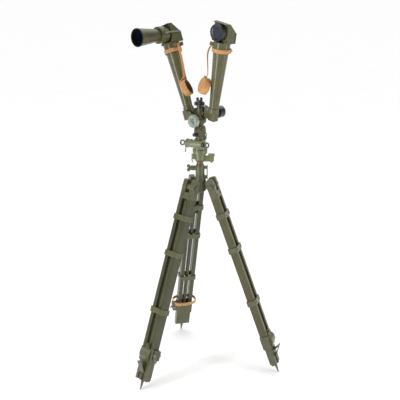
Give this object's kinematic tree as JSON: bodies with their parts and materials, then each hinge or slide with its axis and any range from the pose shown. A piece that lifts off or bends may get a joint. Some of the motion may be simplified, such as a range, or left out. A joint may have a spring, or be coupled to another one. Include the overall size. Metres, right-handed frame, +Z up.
{
  "type": "periscopic binoculars",
  "caption": "Scissors telescope with two hinged periscope arms, hooded objective, worm-driven azimuth and elevation mount, and a three-legged telescoping tripod.",
  "frame": {"origin": "on the ground, beneath the tripod's upright axis, where the lines of the three legs' symmetry meet", "axes": "+Z up along the azimuth axis; -Y is the line of sight; +X is to the right for someone who faces the instrument"},
  "size_m": [0.5638, 0.5009, 1.3227],
  "materials": {
    "olive_paint": "semi-gloss olive drab enamel, worn",
    "olive_wood": "painted hardwood, satin olive drab",
    "pale_metal": "greyed light metal, satin",
    "steel": "plain steel, slightly dulled",
    "bronze": "browned metal",
    "black_paint": "black lacquer, satin",
    "black_plastic": "black moulded resin, ribbed",
    "tan_leather": "natural tan leather",
    "lens_glass": "coated optical glass",
    "window_glass": "clear glass over a pale scale"
  },
  "bodies": {
    "tripod_head": {"tripod_crown": "olive_paint", "leg_pivots": "steel", "head_socket": "olive_paint", "spindle": "bronze", "azimuth_base": "olive_paint"},
    "socket_clamp": {"socket_clamp_screw": "steel"},
    "base_clamp": {"base_clamp_knob": "olive_paint"},
    "azimuth_part": {"azimuth_housing": "olive_paint", "elevation_yoke": "olive_paint", "elevation_axle": "steel"},
    "azimuth_worm": {"azimuth_worm": "pale_metal"},
    "release_lever": {"release_lever": "olive_paint"},
    "elevation_worm": {"elevation_worm": "black_paint"},
    "tilting_part": {"hinge_block": "olive_paint", "hinge_pin": "steel", "spread_dial": "pale_metal"},
    "arm_clamp": {"arm_clamp_knob": "black_paint"},
    "right_arm": {"right_elbow": "olive_paint", "right_elbow_prism": "lens_glass", "right_tube": "olive_paint", "right_head": "olive_paint", "right_head_prism": "lens_glass", "right_objective": "lens_glass", "right_window_ring": "black_paint", "right_window": "window_glass", "right_strap": "tan_leather"},
    "right_eyepiece": {"right_eyepiece": "black_plastic", "right_eye_lens": "lens_glass"},
    "right_cap": {"right_lens_cap": "tan_leather"},
    "left_arm": {"left_elbow": "olive_paint", "left_elbow_prism": "lens_glass", "left_tube": "olive_paint", "left_head": "olive_paint", "left_head_prism": "lens_glass", "left_objective": "lens_glass", "left_window_ring": "black_paint", "left_window": "window_glass", "left_strap": "tan_leather"},
    "left_eyepiece": {"left_eyepiece": "black_plastic", "left_eye_lens": "lens_glass"},
    "left_cap": {"left_lens_cap": "tan_leather"},
    "sunshade": {"sunshade": "olive_paint", "sunshade_clips": "steel"},
    "front_leg": {"front_leg_rails": "olive_wood", "front_leg_fittings": "olive_paint"},
    "front_leg_slide": {"front_leg_tongue": "olive_wood", "front_leg_shoe": "olive_paint", "front_leg_tread": "olive_paint"},
    "front_leg_clamp": {"front_leg_clamp": "steel"},
    "right_leg": {"right_leg_rails": "olive_wood", "right_leg_fittings": "olive_paint"},
    "right_leg_slide": {"right_leg_tongue": "olive_wood", "right_leg_shoe": "olive_paint", "right_leg_tread": "olive_paint"},
    "right_leg_clamp": {"right_leg_clamp": "steel"},
    "left_leg": {"left_leg_rails": "olive_wood", "left_leg_fittings": "olive_paint", "leg_belt": "tan_leather"},
    "left_leg_slide": {"left_leg_tongue": "olive_wood", "left_leg_shoe": "olive_paint", "left_leg_tread": "olive_paint"},
    "left_leg_clamp": {"left_leg_clamp": "steel"}
  },
  "joints": [
    {"name": "azimuth_turn", "type": "hinge", "parent": "tripod_head", "child": "azimuth_part", "pos_m": [0, 0, 0.87796], "axis": [0, 0, 1], "continuous": true},
    {"name": "azimuth_worm_turn", "type": "hinge", "parent": "azimuth_part", "child": "azimuth_worm", "pos_m": [0.00549, -0.01913, 0.87796], "axis": [0.9613, 0.2756, 0], "continuous": true},
    {"name": "release_lever_turn", "type": "hinge", "parent": "azimuth_part", "child": "release_lever", "pos_m": [0.00549, -0.01913, 0.87796], "axis": [0.9613, 0.2756, 0], "range_deg": [0, 70]},
    {"name": "elevation_tilt", "type": "hinge", "parent": "azimuth_part", "child": "tilting_part", "pos_m": [0, 0, 0.93097], "axis": [1, 0, 0], "range_deg": [-17, 17]},
    {"name": "elevation_worm_turn", "type": "hinge", "parent": "azimuth_part", "child": "elevation_worm", "pos_m": [0, 0, 0.91297], "axis": [0, 1, 0], "range_deg": [-545, 545]},
    {"name": "arm_clamp_turn", "type": "hinge", "parent": "tilting_part", "child": "arm_clamp", "pos_m": [0, -0.003, 0.99347], "axis": [0, 0, 1], "range_deg": [-90, 90]},
    {"name": "socket_clamp_turn", "type": "hinge", "parent": "tripod_head", "child": "socket_clamp", "pos_m": [-0.02, -0.02, 0.78546], "axis": [-0.7071, -0.7071, 0], "range_deg": [-360, 360]},
    {"name": "base_clamp_turn", "type": "hinge", "parent": "tripod_head", "child": "base_clamp", "pos_m": [0.0297, 0.0297, 0.81097], "axis": [0, 0, 1], "range_deg": [-360, 360]},
    {"name": "right_arm_swing", "type": "hinge", "parent": "tilting_part", "child": "right_arm", "pos_m": [0, 0, 0.96347], "axis": [0, 1, 0], "range_deg": [-6.2, 65.8]},
    {"name": "right_focus", "type": "hinge", "parent": "right_arm", "child": "right_eyepiece", "pos_m": [0.03728, 0.04, 0.99035], "axis": [0, 1, 0], "range_deg": [-170, 170]},
    {"name": "right_cap_swing", "type": "hinge", "parent": "right_arm", "child": "right_cap", "pos_m": [0.05996, 0.008, 1.24297], "axis": [0, 1, 0], "range_deg": [0, 8]},
    {"name": "left_arm_swing", "type": "hinge", "parent": "tilting_part", "child": "left_arm", "pos_m": [0, 0, 0.96347], "axis": [0, -1, 0], "range_deg": [-18.5, 53.5]},
    {"name": "left_focus", "type": "hinge", "parent": "left_arm", "child": "left_eyepiece", "pos_m": [-0.04215, 0.04, 0.98179], "axis": [0, 1, 0], "range_deg": [-170, 170]},
    {"name": "left_cap_swing", "type": "hinge", "parent": "left_arm", "child": "left_cap", "pos_m": [-0.11813, 0.003, 1.22378], "axis": [0, -1, 0], "range_deg": [0, 8]},
    {"name": "sunshade_slide", "type": "slide", "parent": "left_arm", "child": "sunshade", "axis": [0, -1, 0], "range_m": [0, 0.2]},
    {"name": "front_leg_fold", "type": "hinge", "parent": "tripod_head", "child": "front_leg", "pos_m": [0, -0.048, 0.72086], "axis": [1, 0, 0], "range_deg": [0, 20]},
    {"name": "front_leg_extend", "type": "slide", "parent": "front_leg", "child": "front_leg_slide", "axis": [0, -0.342, -0.9397], "range_m": [0, 0.4]},
    {"name": "front_leg_clamp_turn", "type": "hinge", "parent": "front_leg", "child": "front_leg_clamp", "pos_m": [0.04, -0.2621, 0.13262], "axis": [0, -0.9397, 0.342], "range_deg": [0, 60]},
    {"name": "right_leg_fold", "type": "hinge", "parent": "tripod_head", "child": "right_leg", "pos_m": [0.04157, 0.024, 0.72086], "axis": [-0.5, 0.866, 0], "range_deg": [0, 20]},
    {"name": "right_leg_extend", "type": "slide", "parent": "right_leg", "child": "right_leg_slide", "axis": [0.2962, 0.171, -0.9397], "range_m": [0, 0.4]},
    {"name": "right_leg_clamp_turn", "type": "hinge", "parent": "right_leg", "child": "right_leg_clamp", "pos_m": [0.20699, 0.16569, 0.13262], "axis": [0.8138, 0.4698, 0.342], "range_deg": [0, 60]},
    {"name": "left_leg_fold", "type": "hinge", "parent": "tripod_head", "child": "left_leg", "pos_m": [-0.04157, 0.024, 0.72086], "axis": [-0.5, -0.866, 0], "range_deg": [0, 20]},
    {"name": "left_leg_extend", "type": "slide", "parent": "left_leg", "child": "left_leg_slide", "axis": [-0.2962, 0.171, -0.9397], "range_m": [0, 0.4]},
    {"name": "left_leg_clamp_turn", "type": "hinge", "parent": "left_leg", "child": "left_leg_clamp", "pos_m": [-0.24699, 0.09641, 0.13262], "axis": [-0.8138, 0.4698, 0.342], "range_deg": [0, 60]}
  ],
  "couplings": [
    {"joint": "azimuth_worm_turn", "follows": "azimuth_turn", "ratio": 32},
    {"joint": "elevation_worm_turn", "follows": "elevation_tilt", "ratio": 32}
  ]
}
